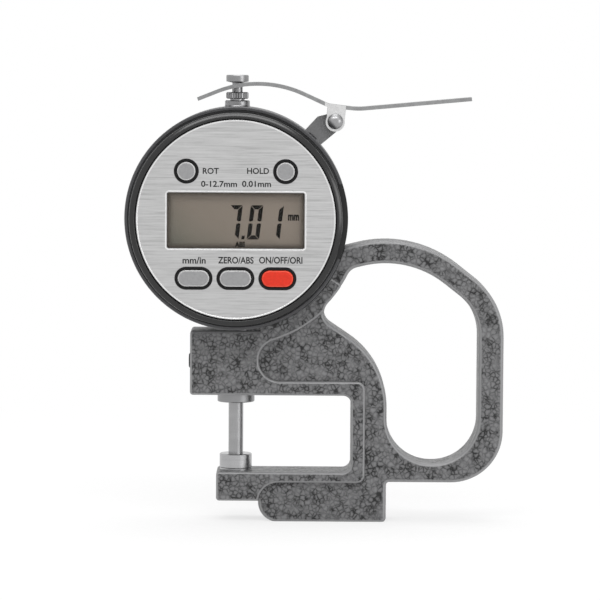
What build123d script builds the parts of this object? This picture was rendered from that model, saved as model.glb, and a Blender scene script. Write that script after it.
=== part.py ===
from build123d import *
import os
from math import atan2, cos, radians, sin, sqrt

# Digital thickness gauge, standing on its foot, in millimetres.
# X runs right along the front view, Y runs to the back, Z is up.
# The origin is the middle of the foot's bottom face.

# Main places
spindle_x = -23.6
dial_z = 82.55

# Frame casting
raised_thickness = 15.0
web_thickness = 12.4
raised_edge_radius = 0.8
web_edge_radius = 1.2
corner_radius = 0.85
web_corner_radius = 1.4
block_left = -36.0
block_reach = 14.0
block_top = 52.0
throat_top = 34.5
throat_bottom = 13.6
throat_wall_x = 7.7
throat_corner_radius = 2.2
rail_width = 3.85
lower_rail_width = 2.9
jaw_left = -28.8
jaw_bottom = 5.7
foot_left = -17.4
foot_right = 17.4
foot_skim = 0.25
pocket_end_radius = 5.7
band_width = 4.2
band_start = -77.6
band_end = -32.0
cradle_gap = 0.3

# Web and loop handle
web_left = -20.6
web_tuck = 23.0
band_root = 11.0
loop_right = 49.0
loop_bottom = 10.85
loop_top_width = 6.2
loop_side_width = 6.8
loop_bottom_width = 5.2
loop_root_z = 75.0
loop_root_x = 6.4
loop_top_corner_x = 24.3
loop_rise = 0.25
loop_fall = 0.78
loop_top_radius = 32.0
loop_shoulder_radius = 20.0
loop_heel_radius = 14.0
hole_bottom_radius = 12.2
hole_ring_wall = 3.4
hole_notch_radius = 3.8
web_slope = 0.672
web_crest_z = 43.5
web_bend_radius = 23.0

# Steel parts on the spindle axis
spindle_radius = 2.0
travel = 12.7
running_gap = 0.04
snug_gap = 0.02
anvil_radius = 4.3
anvil_head = 0.5
anvil_shank_radius = 3.0
anvil_shank_length = 4.5
contact_radius = 4.4
contact_height = 3.9
contact_thread_radius = 1.25
contact_thread_length = 4.0
stem_radius = 4.0
stem_shoulder_radius = 6.0
bush_wall = 0.7
bush_flange_radius = 5.05
bush_flange_height = 2.3
bush_slit = 0.8
spindle_top_gap = 0.42
cap_radius = 3.38
cap_flare = 0.25
cap_height = 1.85
cap_shank_radius = 2.95
cap_shank_length = 3.7
nut_radius = 3.05
nut_height = 1.8
knurl_grooves = 26
knurl_depth = 0.22
knob_radius = 3.05
knob_height = 1.75
knob_taper = 0.35
neck_radius = 1.42
neck_length = 2.55
clamp_screw_radius = 2.0
clamp_screw_z = 43.3
clamp_screw_proud = 0.5
hex_socket = 2.0

# Indicator case
case_radius = 30.1
case_wall = 2.0
case_front_y = -11.0
case_back_y = 7.0
lip_width = 0.8
lip_depth = 1.2
lip_groove = 0.7
bezel_taper = 0.85
bezel_ledge = 0.85
bezel_front_y = -17.4
plate_front_y = -17.0
plate_thickness = 0.6
floor_thickness = 1.5
fit_gap = 0.1
skirt_wall = 1.3
skirt_length = 2.8
window_width = 36.8
window_height = 14.95
window_drop = 0.2
window_margin = 1.0
window_thickness = 1.0
glass_width = 41.0
glass_height = 19.0
glass_thickness = 2.0
cover_thickness = 2.5
cover_overlap = 1.2
cover_edge = 1.2
cover_screw_inset = 2.3
cover_screw_angle = 62.0
cover_screw_radius = 1.0
cover_screw_head_radius = 2.0
cover_screw_head = 1.1
screw_boss_radius = 2.4

# Keys
round_key_x = 13.25
round_key_z = 12.95
round_key_radius = 2.45
oval_key_pitch = 11.23
oval_key_z = -15.7
oval_key_length = 8.4
oval_key_height = 4.35
collar_wall = 0.65
collar_proud = 0.15
key_gap = 0.2
key_proud = 0.75
key_travel = 0.5
key_flange = 0.4
key_flange_thickness = 0.6
key_stem_radius = 1.2
switch_side = 3.4
switch_height = 0.6
plunger_height = 0.15
plunger_radius = 0.8

# Boards, scale and spring inside the case
strip_height = 1.4
strip_width = 1.8
board_gap = 0.3
board_thickness = 1.2
board_screw_inset = 2.1
board_screw_radius = 0.8
board_screw_head_radius = 1.5
board_screw_head = 1.0
sensor_width = 14.0
sensor_length = 34.0
sensor_board_thickness = 1.0
sensor_mid_z = -5.0
sensor_gap = 0.2
spacer_radius = 1.5
scale_width = 7.0
scale_length = 18.0
scale_thickness = 0.8
carriage_mid_z = -12.0
carriage_height = 8.0
carriage_front_y = -3.4
carriage_back_y = 2.8
carriage_side = 4.0
guide_offset = 8.0
guide_radius = 0.8
spring_radius = 2.8
wire_radius = 0.25
spring_turns = 7
stem_boss_half_width = 6.4
stem_boss_depth = 10.0
stem_boss_height = 3.6

# Battery and its cover in the right side of the rim
battery_radius = 10.0
battery_thickness = 3.2
battery_inset = 1.1
battery_z = -0.7
battery_front_y = 0.6
holder_wall = 1.0
contact_leaf = 0.2
battery_cover_low = -21.0
battery_cover_high = 18.5
battery_cover_thickness = 1.15
battery_cover_back_y = 5.0

# Lift lever and its bracket
pivot_x = 2.95
pivot_z = 108.7
strip_thickness = 1.0
lever_width = 8.0
lever_tip = (-34.3, 114.5)
lever_crest = (-17.2, 121.3)
lever_valley = (1.09, 112.98)
lever_heel = (8.94, 112.04)
lever_end = (39.85, 114.9)
crest_radius = 30.0
valley_radius = 4.0
heel_radius = 20.0
fork_slot = 3.5
fork_reach = 3.2
ear_radius = 2.6
ear_half_width = 2.45
pivot_radius = 1.2
pivot_head_radius = 2.1
pivot_head_height = 1.3
pivot_nut_width = 4.0
pivot_nut_height = 1.6
arm_angle = 47.3
arm_thickness = 3.0
arm_width = 5.1
arm_length = 34.85
screw_head_height = 0.35
saddle_thickness = 0.8
saddle_half_angle = 9.0
saddle_depth = 11.0
bracket_screw_radius = 0.8
bracket_screw_head_radius = 1.3
bracket_screw_spacing = 7.8

# Heights and depths that follow from the sizes above
cradle_radius = case_radius + cradle_gap
bezel_radius = case_radius - lip_width - lip_groove
bezel_front_radius = bezel_radius - bezel_taper
plate_radius = bezel_front_radius - bezel_ledge
cover_radius = case_radius - lip_width
anvil_face_z = throat_bottom + anvil_head
spindle_bottom_z = anvil_face_z + contact_height
case_top_z = dial_z + case_radius
cap_seat_z = case_top_z - 0.3
cap_top_z = cap_seat_z + cap_height
spindle_top_z = cap_top_z + spindle_top_gap
nut_top_z = spindle_top_z + nut_height
neck_top_z = nut_top_z + neck_length
stem_bottom_z = throat_top - bush_flange_height + 0.2
inner_radius = case_radius - case_wall
cover_screw_circle = inner_radius - cover_screw_inset
board_radius = inner_radius - fit_gap - skirt_wall - board_gap
board_screw_circle = board_radius - board_screw_inset
stem_boss_top = stem_boss_height - inner_radius
battery_x = inner_radius - battery_radius - battery_inset
bush_radius = stem_radius + bush_wall
plate_back_y = plate_front_y + plate_thickness
floor_back_y = plate_back_y + floor_thickness
glass_back_y = floor_back_y + glass_thickness
board_front_y = glass_back_y + strip_height
board_back_y = board_front_y + board_thickness
seat_y = case_front_y + lip_depth
key_front_y = plate_front_y - key_proud
scale_front_y = carriage_front_y - scale_thickness
sensor_back_y = scale_front_y - sensor_gap
sensor_front_y = sensor_back_y - sensor_board_thickness
cover_inner_y = case_back_y - cover_overlap
cover_back_y = case_back_y + cover_thickness
rail_right = throat_wall_x + rail_width
rail_top = throat_top + rail_width
rail_bottom = throat_bottom - lower_rail_width

round_keys = {"rotate_button": (-round_key_x, round_key_z), "hold_button": (round_key_x, round_key_z)}
oval_keys = {
    "unit_button": (-oval_key_pitch, oval_key_z),
    "zero_button": (0, oval_key_z),
    "power_button": (oval_key_pitch, oval_key_z),
}
board_screw_angles = (52, 128, 220, 320)
cover_screw_angles = (
    cover_screw_angle,
    180 - cover_screw_angle,
    180 + cover_screw_angle,
    360 - cover_screw_angle,
)


def slab(outline, front_y, back_y):
    """Solid with a front-view outline, reaching from front_y to back_y."""
    plane = Plane(origin=(0, back_y, 0), x_dir=(1, 0, 0), z_dir=(0, -1, 0))
    return extrude(plane * outline, back_y - front_y)


def dial_slab(outline, front_y, back_y):
    """The same, with the outline drawn about the dial's centre."""
    return slab(Pos(spindle_x, dial_z) * outline, front_y, back_y)


def box_outline(left, right, bottom, top):
    """Upright rectangle from its four sides."""
    return Pos((left + right) / 2, (bottom + top) / 2) * Rectangle(right - left, top - bottom)


def rounded_outline(*corners):
    """Closed face through (x, z, corner radius) corners."""
    face = make_face(Polyline(*[(x, z) for x, z, radius in corners], close=True).edges())
    for x, z, radius in corners:
        if radius > 0:
            corner = face.vertices().sort_by_distance((x, z, 0))[0]
            face = fillet([corner], radius)
    return face


def round_corners(outline, radius, *places):
    """Round the corners of a flat outline that lie nearest to the given places."""
    for x, z in places:
        corner = outline.vertices().sort_by_distance((x, z, 0))[0]
        outline = fillet([corner], radius)
    return outline


def sector(inner, outer, low_angle, high_angle):
    """Part of a ring about the dial's centre, between two angles."""
    reach = 2 * outer
    angles = [low_angle + (high_angle - low_angle) * step / 4 for step in range(5)]
    rays = [(reach * cos(radians(a)), reach * sin(radians(a))) for a in angles]
    wedge = make_face(Polyline((0, 0), *rays, close=True).edges())
    return (Circle(outer) - Circle(inner)) & wedge


def turned_upright(*profile):
    """Solid turned about the spindle axis from (radius, height) points."""
    points = [(spindle_x + radius, 0, height) for radius, height in profile]
    return revolve(make_face(Polyline(*points, close=True).edges()), Axis((spindle_x, 0, 0), (0, 0, 1)))


def turned_dial(*profile):
    """Solid turned about the dial's axis from (radius, depth) points."""
    points = [(spindle_x + radius, depth, dial_z) for radius, depth in profile]
    return revolve(make_face(Polyline(*points, close=True).edges()), Axis((spindle_x, 0, dial_z), (0, 1, 0)))


def upright_rod(radius, x, bottom, top):
    """Upright cylinder in the middle plane of the gauge."""
    return Pos(x, 0, (bottom + top) / 2) * Cylinder(radius, top - bottom)


def polar(radius, angle):
    """Point on a circle about the dial's centre."""
    return radius * cos(radians(angle)), radius * sin(radians(angle))


def loop_outer():
    """Outer outline of web and loop handle, closed inside the case's circle."""
    root_x = spindle_x + band_root
    top_z = loop_root_z + loop_rise * (loop_top_corner_x - loop_root_x)
    shoulder_z = top_z - loop_fall * (loop_right - loop_top_corner_x)
    return rounded_outline(
        (web_left, loop_bottom, 0),
        (loop_right, loop_bottom, loop_heel_radius),
        (loop_right, shoulder_z, loop_shoulder_radius),
        (loop_top_corner_x, top_z, loop_top_radius),
        (root_x, loop_root_z + loop_rise * (root_x - loop_root_x), 0),
        (web_left, dial_z - web_tuck, 0),
    )


def loop_hole():
    """Finger opening between the web, the case's cradle and the loop."""
    rise_angle = atan2(loop_rise, 1)
    fall_angle = atan2(loop_fall, 1)
    rise_z = loop_root_z - loop_top_width / cos(rise_angle)
    top_z = loop_root_z + loop_rise * (loop_top_corner_x - loop_root_x)
    fall_z = top_z - loop_top_width / cos(fall_angle)
    corner_x = loop_top_corner_x + (fall_z - rise_z - loop_rise * (loop_top_corner_x - loop_root_x)) / (
        loop_rise + loop_fall
    )
    corner_z = rise_z + loop_rise * (corner_x - loop_root_x)
    side_x = loop_right - loop_side_width
    side_z = fall_z - loop_fall * (side_x - loop_top_corner_x)
    bottom_z = loop_bottom + loop_bottom_width
    web_x = foot_right
    inside_x = spindle_x + case_radius / 2
    opening = rounded_outline(
        (web_x, bottom_z, hole_bottom_radius),
        (side_x, bottom_z, hole_bottom_radius),
        (side_x, side_z, loop_shoulder_radius - loop_top_width),
        (corner_x, corner_z, loop_top_radius - loop_top_width),
        (inside_x, rise_z + loop_rise * (inside_x - loop_root_x), 0),
        (inside_x, web_crest_z + web_slope * (web_x - inside_x), 0),
        (web_x, web_crest_z, web_bend_radius),
    )
    wall = Pos(spindle_x, dial_z) * Circle(cradle_radius + hole_ring_wall)
    opening = opening - wall
    lower = opening.vertices().sort_by(Axis.X)[0]
    opening = fillet([lower], hole_notch_radius)
    upper = opening.vertices().sort_by_distance((loop_root_x, rise_z, 0))[0]
    return fillet([upper], hole_notch_radius)


def throat_outline(inset):
    """Throat opening, or the same grown by inset into the rail round it."""
    left = block_left - rail_width
    right = throat_wall_x + inset
    bottom = throat_bottom - inset
    top = throat_top + inset
    radius = throat_corner_radius + inset
    return rounded_outline((left, bottom, 0), (right, bottom, radius), (right, top, radius), (left, top, 0))


def foot_outline(top):
    """Foot with its round left end under the jaw, before the bottom is skimmed."""
    radius = (rail_bottom + foot_skim) / 2
    block = box_outline(foot_left + radius, foot_right, -foot_skim, top)
    block = round_corners(block, web_corner_radius, (foot_right, -foot_skim))
    return block + Pos(foot_left + radius, rail_bottom - radius) * Circle(radius)


def pocket_outline():
    """Recess beside the upper block: a round end, a flat floor and a roof that follows the case."""
    roof_radius = cradle_radius + band_width
    end_z = rail_top + pocket_end_radius
    drop = dial_z - end_z
    reach = sqrt((roof_radius + pocket_end_radius) ** 2 - drop**2)
    end_x = spindle_x + reach
    share = roof_radius / (roof_radius + pocket_end_radius)
    touch = (spindle_x + reach * share, dial_z - drop * share)
    end = Pos(end_x, end_z) * Circle(pocket_end_radius)
    above = (end_x, end_z + 2 * pocket_end_radius)
    wedge = make_face(Polyline((end_x, end_z), touch, above, close=True).edges())
    run = box_outline(end_x, foot_right, rail_top, dial_z)
    return end + wedge + run - Pos(spindle_x, dial_z) * Circle(roof_radius)


def web_casting():
    """Thinner part of the casting: web, foot and loop, with rounded edges."""
    cover = 0.6
    core_left = jaw_left + 7
    core_bottom = jaw_bottom + 0.3
    core = box_outline(core_left, foot_right, core_bottom, throat_bottom)
    outline = loop_outer() + core + foot_outline(throat_bottom - cover) - throat_outline(cover) - loop_hole()
    outline -= Pos(spindle_x, dial_z) * Circle(cradle_radius)
    outline = round_corners(
        outline,
        corner_radius,
        (foot_right, loop_bottom),
        (core_left, core_bottom),
        (core_left, throat_bottom - cover),
        (web_left, throat_top + cover),
    )
    outline = round_corners(outline, 0.8, (foot_left, core_bottom))
    body = slab(outline, -web_thickness / 2, web_thickness / 2)
    edges = body.edges().filter_by_position(Axis.Y, -web_thickness / 2, -web_thickness / 2)
    edges += body.edges().filter_by_position(Axis.Y, web_thickness / 2, web_thickness / 2)
    rounded = [edge for edge in edges if not beside_case(edge)]
    return fillet(rounded, web_edge_radius)


def raised_casting():
    """Thicker part: upper block, cradle band, C-shaped rail and lower jaw."""
    block = box_outline(block_left, spindle_x + block_reach, throat_top, block_top)
    block = round_corners(block, corner_radius, (block_left, throat_top), (block_left, block_top))
    band = Pos(spindle_x, dial_z) * sector(cradle_radius, cradle_radius + band_width, band_start, band_end)
    rail = box_outline(foot_left, rail_right, rail_bottom, rail_top)
    rail = round_corners(rail, throat_corner_radius, (rail_right, rail_bottom), (rail_right, rail_top))
    jaw = box_outline(jaw_left, foot_left + pocket_end_radius, jaw_bottom, throat_bottom)
    jaw = round_corners(jaw, corner_radius, (jaw_left, jaw_bottom), (jaw_left, throat_bottom))
    outline = block + band + rail + jaw
    outline -= Pos(spindle_x, dial_z) * Circle(cradle_radius)
    outline = outline - throat_outline(0) - pocket_outline() - loop_hole() - foot_outline(rail_bottom)
    end_x, end_z = polar(cradle_radius + hole_ring_wall, band_end)
    outline = round_corners(outline, corner_radius, (spindle_x + end_x, dial_z + end_z))
    body = slab(outline, -raised_thickness / 2, raised_thickness / 2)
    edges = body.edges().filter_by_position(Axis.Y, -raised_thickness / 2, -raised_thickness / 2)
    edges += body.edges().filter_by_position(Axis.Y, raised_thickness / 2, raised_thickness / 2)
    rounded = [edge for edge in edges if edge.length > raised_edge_radius + 0.3 and not beside_case(edge)]
    return fillet(rounded, raised_edge_radius)


def beside_case(edge):
    """Whether an edge lies on the cradle's circle."""
    middle = edge @ 0.5
    return sqrt((middle.X - spindle_x) ** 2 + (middle.Z - dial_z) ** 2) < cradle_radius + 0.05


def frame_casting():
    """The one-piece casting with its bores and its skimmed foot."""
    body = web_casting() + raised_casting()
    body -= upright_rod(bush_radius + snug_gap, spindle_x, throat_top - 5, block_top + 5)
    seat_z = throat_bottom - anvil_shank_length
    body -= upright_rod(anvil_shank_radius + snug_gap, spindle_x, seat_z, throat_bottom + 1)
    tap = Cylinder(clamp_screw_radius + snug_gap, spindle_x - block_left + 2)
    tap = Pos((spindle_x + block_left) / 2 - 1, 0, clamp_screw_z) * Rot(0, 90, 0) * tap
    body -= tap
    body -= upright_rod(stem_shoulder_radius + fit_gap, spindle_x, block_top, dial_z)
    return body - Pos(0, 0, -throat_bottom) * Box(4 * loop_right, 4 * raised_thickness, 2 * throat_bottom)


def anvil():
    """Hardened button in the lower jaw, with a thin head."""
    return turned_upright(
        (0, throat_bottom - anvil_shank_length),
        (anvil_shank_radius, throat_bottom - anvil_shank_length),
        (anvil_shank_radius, throat_bottom),
        (anvil_radius, throat_bottom),
        (anvil_radius, anvil_face_z),
        (0, anvil_face_z),
    )


def contact_point():
    """Flat disc contact with its thread into the spindle."""
    edge = 0.2
    thread = contact_thread_radius - snug_gap
    return turned_upright(
        (0, anvil_face_z),
        (contact_radius - edge, anvil_face_z),
        (contact_radius, anvil_face_z + edge),
        (contact_radius, spindle_bottom_z - edge),
        (contact_radius - edge, spindle_bottom_z),
        (thread, spindle_bottom_z),
        (thread, spindle_bottom_z + contact_thread_length),
        (0, spindle_bottom_z + contact_thread_length),
    )


def spindle():
    """Measuring rod with a threaded hole at each end."""
    rod = upright_rod(spindle_radius, spindle_x, spindle_bottom_z, spindle_top_z)
    depth = contact_thread_length + 0.5
    rod -= upright_rod(contact_thread_radius, spindle_x, spindle_bottom_z, spindle_bottom_z + depth)
    rod -= upright_rod(contact_thread_radius, spindle_x, spindle_top_z - depth, spindle_top_z)
    return rod


def stem():
    """Stem of the indicator: shoulder between block and case, bored for the spindle."""
    bore = spindle_radius + running_gap
    flat_z = dial_z - sqrt(case_radius**2 - stem_shoulder_radius**2)
    return turned_upright(
        (bore, stem_bottom_z),
        (stem_radius, stem_bottom_z),
        (stem_radius, block_top),
        (stem_shoulder_radius, block_top),
        (stem_shoulder_radius, flat_z),
        (stem_radius, flat_z),
        (stem_radius, dial_z + stem_boss_top),
        (bore, dial_z + stem_boss_top),
    )


def stem_bush():
    """Split bush in the block, with the collar under the upper jaw."""
    bore = stem_radius + snug_gap
    bottom = throat_top - bush_flange_height
    edge = 0.2
    bush = turned_upright(
        (bore, bottom),
        (bush_flange_radius - edge, bottom),
        (bush_flange_radius, bottom + edge),
        (bush_flange_radius, throat_top),
        (bush_radius, throat_top),
        (bush_radius, block_top - 0.5),
        (bore, block_top - 0.5),
    )
    slit = Pos(spindle_x + bush_radius, 0, (throat_top + block_top) / 2 + 1)
    return bush - slit * Box(2 * bush_radius, bush_slit, block_top - throat_top)


def stem_clamp_screw():
    """Socket screw from the left face of the block to the bush."""
    tip_x = spindle_x - bush_radius
    head_x = block_left - clamp_screw_proud
    length = tip_x - head_x
    screw = Pos((tip_x + head_x) / 2, 0, clamp_screw_z) * Rot(0, 90, 0) * Cylinder(clamp_screw_radius, length)
    screw = chamfer(screw.edges().group_by(Axis.X)[0], 0.25)
    socket = extrude(RegularPolygon(hex_socket / 2, 6, major_radius=False), 1.5)
    return screw - Pos(head_x, 0, clamp_screw_z) * Rot(0, 90, 0) * socket


def top_bush():
    """Cap on the case with the upper guide bore."""
    bore = spindle_radius + running_gap
    edge = 0.25
    return turned_upright(
        (bore, cap_seat_z - cap_shank_length),
        (cap_shank_radius, cap_seat_z - cap_shank_length),
        (cap_shank_radius, cap_seat_z),
        (cap_radius + cap_flare, cap_seat_z),
        (cap_radius, cap_seat_z + 2 * cap_flare),
        (cap_radius, cap_top_z - edge),
        (cap_radius - edge, cap_top_z),
        (bore, cap_top_z),
    )


def knurled_nut():
    """Nut on the neck with straight knurling round its rim."""
    edge = 0.25
    nut = turned_upright(
        (neck_radius + running_gap, spindle_top_z),
        (nut_radius - edge, spindle_top_z),
        (nut_radius, spindle_top_z + edge),
        (nut_radius, nut_top_z - edge),
        (nut_radius - edge, nut_top_z),
        (neck_radius + running_gap, nut_top_z),
    )
    tooth_pitch = 360 / knurl_grooves
    groove = Rot(0, 0, 45) * Rectangle(knurl_depth * sqrt(2), knurl_depth * sqrt(2))
    grooves = [Rot(0, 0, tooth_pitch * step) * Pos(nut_radius, 0) * groove for step in range(knurl_grooves)]
    cutter = Sketch() + grooves
    return nut - Pos(spindle_x, 0, spindle_top_z) * extrude(cutter, nut_height)


def lift_knob():
    """Round knob with a tapered underside, its neck and its thread in the spindle."""
    edge = 0.2
    thread = contact_thread_radius - snug_gap
    knob_bottom = neck_top_z + knob_taper
    knob_top = knob_bottom + knob_height
    return turned_upright(
        (0, spindle_top_z - contact_thread_length),
        (thread, spindle_top_z - contact_thread_length),
        (thread, spindle_top_z),
        (neck_radius, spindle_top_z),
        (neck_radius, neck_top_z),
        (knob_radius, knob_bottom),
        (knob_radius, knob_top - edge),
        (knob_radius - edge, knob_top),
        (0, knob_top),
    )


def rear_housing():
    """Round case: rim with a front lip, bosses, the battery slot and seats for what is fixed to it."""
    lip_radius = case_radius - lip_width
    edge = 0.5
    body = turned_dial(
        (inner_radius, case_back_y),
        (case_radius - edge, case_back_y),
        (case_radius, case_back_y - edge),
        (case_radius, case_front_y + edge / 2),
        (case_radius - edge / 2, case_front_y),
        (lip_radius, case_front_y),
        (lip_radius, seat_y),
        (inner_radius, seat_y),
    )
    inside = Circle(inner_radius + 0.5)
    for angle in cover_screw_angles:
        boss = Pos(*polar(cover_screw_circle, angle)) * Circle(screw_boss_radius)
        body += dial_slab(boss & inside, -4, cover_inner_y)
    pad_low = arm_angle - saddle_half_angle
    pad_high = arm_angle + saddle_half_angle
    pad = sector(inner_radius - 1.6, inner_radius + 0.5, pad_low, pad_high)
    body += dial_slab(pad, -saddle_depth / 2 - 1, cover_inner_y)
    boss = box_outline(-stem_boss_half_width, stem_boss_half_width, -case_radius, stem_boss_top) & inside
    body += dial_slab(boss, -stem_boss_depth / 2, stem_boss_depth / 2)
    for angle in cover_screw_angles:
        hole = Pos(*polar(cover_screw_circle, angle)) * Circle(cover_screw_radius + snug_gap)
        body -= dial_slab(hole, -1, cover_inner_y)
    for side in (-1, 1):
        body -= radial_rod(bracket_screw_radius + snug_gap, inner_radius - 1, case_radius, arm_angle, side)
    flat_z = dial_z - sqrt(case_radius**2 - stem_shoulder_radius**2)
    body -= upright_rod(stem_shoulder_radius + fit_gap, spindle_x, block_top, flat_z)
    body -= upright_rod(stem_radius + snug_gap, spindle_x, block_top, dial_z + stem_boss_top)
    body -= upright_rod(cap_radius + cap_flare + fit_gap, spindle_x, cap_seat_z, case_top_z + 1)
    body -= upright_rod(cap_shank_radius + snug_gap, spindle_x, dial_z, case_top_z)
    rod_end = inner_radius - 0.4
    body -= upright_rod(guide_radius + snug_gap, spindle_x - guide_offset, dial_z - rod_end, dial_z + rod_end)
    floor_radius = case_radius - battery_cover_thickness
    pocket = sector(floor_radius, case_radius + 1, battery_cover_low, battery_cover_high)
    body -= dial_slab(pocket, case_front_y - 1, battery_cover_back_y)
    slot_half = battery_radius + 0.3
    slot = box_outline(battery_x, case_radius + 1, battery_z - slot_half, battery_z + slot_half)
    battery_back_y = battery_front_y + battery_thickness
    body -= dial_slab(slot, battery_front_y - 0.3, battery_back_y + 0.3)
    saddle_low = arm_angle - saddle_half_angle - 0.2
    saddle_high = arm_angle + saddle_half_angle + 0.2
    saddle = sector(case_radius - saddle_thickness, case_radius + 1, saddle_low, saddle_high)
    return body - dial_slab(saddle, -saddle_depth / 2 - fit_gap, saddle_depth / 2 + fit_gap)


def radial_rod(radius, inner, outer, angle, side):
    """Cylinder along a ray of the dial, in front of or behind the middle plane."""
    x, z = polar((inner + outer) / 2, angle)
    rod = Rot(0, 90 - angle, 0) * Cylinder(radius, outer - inner)
    return Pos(spindle_x + x, side * bracket_screw_spacing / 2, dial_z + z) * rod


def front_housing():
    """Bezel with the floor behind the dial plate and the collars round the keys, in one moulding."""
    edge = 0.4
    skirt_radius = inner_radius - fit_gap
    body = turned_dial(
        (0, plate_back_y),
        (plate_radius + fit_gap, plate_back_y),
        (plate_radius + fit_gap, plate_front_y),
        (plate_radius + fit_gap + 0.2, bezel_front_y),
        (bezel_front_radius - edge, bezel_front_y),
        (bezel_front_radius, bezel_front_y + edge),
        (bezel_radius, seat_y - 1),
        (bezel_radius, seat_y),
        (skirt_radius, seat_y),
        (skirt_radius, seat_y + skirt_length),
        (skirt_radius - skirt_wall, seat_y + skirt_length),
        (skirt_radius - skirt_wall, floor_back_y),
        (0, floor_back_y),
    )
    for place in round_keys.values():
        collar = Pos(*place) * Circle(round_key_radius + key_gap + collar_wall)
        body += dial_slab(collar, plate_front_y - collar_proud, plate_back_y)
        body -= dial_slab(Pos(*place) * Circle(round_key_radius + key_gap), bezel_front_y, floor_back_y)
    hole_length = oval_key_length + 2 * key_gap
    hole_height = oval_key_height + 2 * key_gap
    for place in oval_keys.values():
        collar = Pos(*place) * SlotOverall(hole_length + 2 * collar_wall, hole_height + 2 * collar_wall)
        body += dial_slab(collar, plate_front_y - collar_proud, plate_back_y)
        body -= dial_slab(Pos(*place) * SlotOverall(hole_length, hole_height), bezel_front_y, floor_back_y)
    for angle in board_screw_angles:
        place = Pos(*polar(board_screw_circle, angle))
        body += dial_slab(place * Circle(board_screw_radius + 1), floor_back_y, board_front_y)
        body -= dial_slab(place * Circle(board_screw_radius + snug_gap), floor_back_y, board_front_y)
    opening = Pos(0, -window_drop) * Rectangle(window_width, window_height)
    body -= dial_slab(opening, bezel_front_y, floor_back_y)
    rebate_size = 2 * window_margin + 2 * fit_gap
    rebate = Pos(0, -window_drop) * Rectangle(window_width + rebate_size, window_height + rebate_size)
    return body - dial_slab(rebate, plate_back_y, plate_back_y + window_thickness)


def face_plate():
    """Aluminium dial plate with openings for the window and the keys."""
    edge = 0.22
    body = turned_dial(
        (0, plate_front_y),
        (plate_radius - edge, plate_front_y),
        (plate_radius, plate_front_y + edge),
        (plate_radius, plate_back_y),
        (0, plate_back_y),
    )
    for place in round_keys.values():
        hole = Pos(*place) * Circle(round_key_radius + key_gap + collar_wall + fit_gap / 2)
        body -= dial_slab(hole, plate_front_y, plate_back_y)
    grown = 2 * (key_gap + collar_wall + fit_gap / 2)
    for place in oval_keys.values():
        hole = Pos(*place) * SlotOverall(oval_key_length + grown, oval_key_height + grown)
        body -= dial_slab(hole, plate_front_y, plate_back_y)
    opening = Pos(0, -window_drop) * RectangleRounded(window_width, window_height, 0.5)
    return body - dial_slab(opening, plate_front_y, plate_back_y)


def display_window():
    """Clear window, held between plate and floor."""
    outline = Rectangle(window_width + 2 * window_margin, window_height + 2 * window_margin)
    return dial_slab(Pos(0, -window_drop) * outline, plate_back_y, plate_back_y + window_thickness)


def lcd_glass():
    """Display glass behind the floor's opening."""
    outline = Pos(0, -window_drop) * Rectangle(glass_width, glass_height)
    return dial_slab(outline, floor_back_y, glass_back_y)


def contact_strips():
    """Two elastomer strips between display glass and board."""
    strips = []
    for side in (-1, 1):
        height = side * (glass_height - strip_width) / 2 - window_drop
        outline = Pos(0, height) * Rectangle(glass_width - 3, strip_width)
        strips.append(dial_slab(outline, glass_back_y, board_front_y))
    return Compound(strips)


def key_solid(place, cap, flange):
    """Key with a softened cap, a flange behind the floor and a stem towards its switch."""
    body = dial_slab(Pos(*place) * cap, key_front_y, floor_back_y)
    body = fillet(body.edges().group_by(Axis.Y)[0], 0.45)
    body += dial_slab(Pos(*place) * flange, floor_back_y, floor_back_y + key_flange_thickness)
    stem_end = board_front_y - switch_height - plunger_height - key_travel - fit_gap
    return body + dial_slab(Pos(*place) * Circle(key_stem_radius), floor_back_y, stem_end)


def round_key(place):
    """Small round key."""
    return key_solid(place, Circle(round_key_radius), Circle(round_key_radius + key_gap + key_flange))


def oval_key(place):
    """Oval key."""
    grown = 2 * (key_gap + key_flange)
    cap = SlotOverall(oval_key_length, oval_key_height)
    return key_solid(place, cap, SlotOverall(oval_key_length + grown, oval_key_height + grown))


def key_switches():
    """Small push switches on the board, one behind each key."""
    switches = []
    for place in list(round_keys.values()) + list(oval_keys.values()):
        base_front_y = board_front_y - switch_height
        base = dial_slab(Pos(*place) * Rectangle(switch_side, switch_side), base_front_y, board_front_y)
        top = board_front_y - switch_height - plunger_height
        switches.append(base + dial_slab(Pos(*place) * Circle(plunger_radius), top, board_front_y))
    return Compound([switch.solid() for switch in switches])


def main_board():
    """Round circuit board on the front housing's bosses."""
    outline = Circle(board_radius)
    for angle in board_screw_angles:
        outline -= Pos(*polar(board_screw_circle, angle)) * Circle(board_screw_radius + fit_gap)
    return dial_slab(outline, board_front_y, board_back_y)


def board_screws():
    """Screws through the board into the bosses."""
    screws = []
    for angle in board_screw_angles:
        place = Pos(*polar(board_screw_circle, angle))
        head_back_y = board_back_y + board_screw_head
        head = dial_slab(place * Circle(board_screw_head_radius), board_back_y, head_back_y)
        screws.append(head + dial_slab(place * Circle(board_screw_radius), floor_back_y + 0.5, board_back_y))
    return Compound([screw.solid() for screw in screws])


def sensor_board():
    """Reading board that faces the scale."""
    outline = Pos(0, sensor_mid_z) * Rectangle(sensor_width, sensor_length)
    return dial_slab(outline, sensor_front_y, sensor_back_y)


def board_spacers():
    """Posts between the two boards."""
    posts = []
    for side in (-1, 1):
        for end in (-1, 1):
            x = side * (sensor_width / 2 - spacer_radius)
            z = sensor_mid_z + end * (sensor_length / 2 - spacer_radius)
            posts.append(dial_slab(Pos(x, z) * Circle(spacer_radius), board_back_y, sensor_front_y))
    return Compound(posts)


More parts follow.
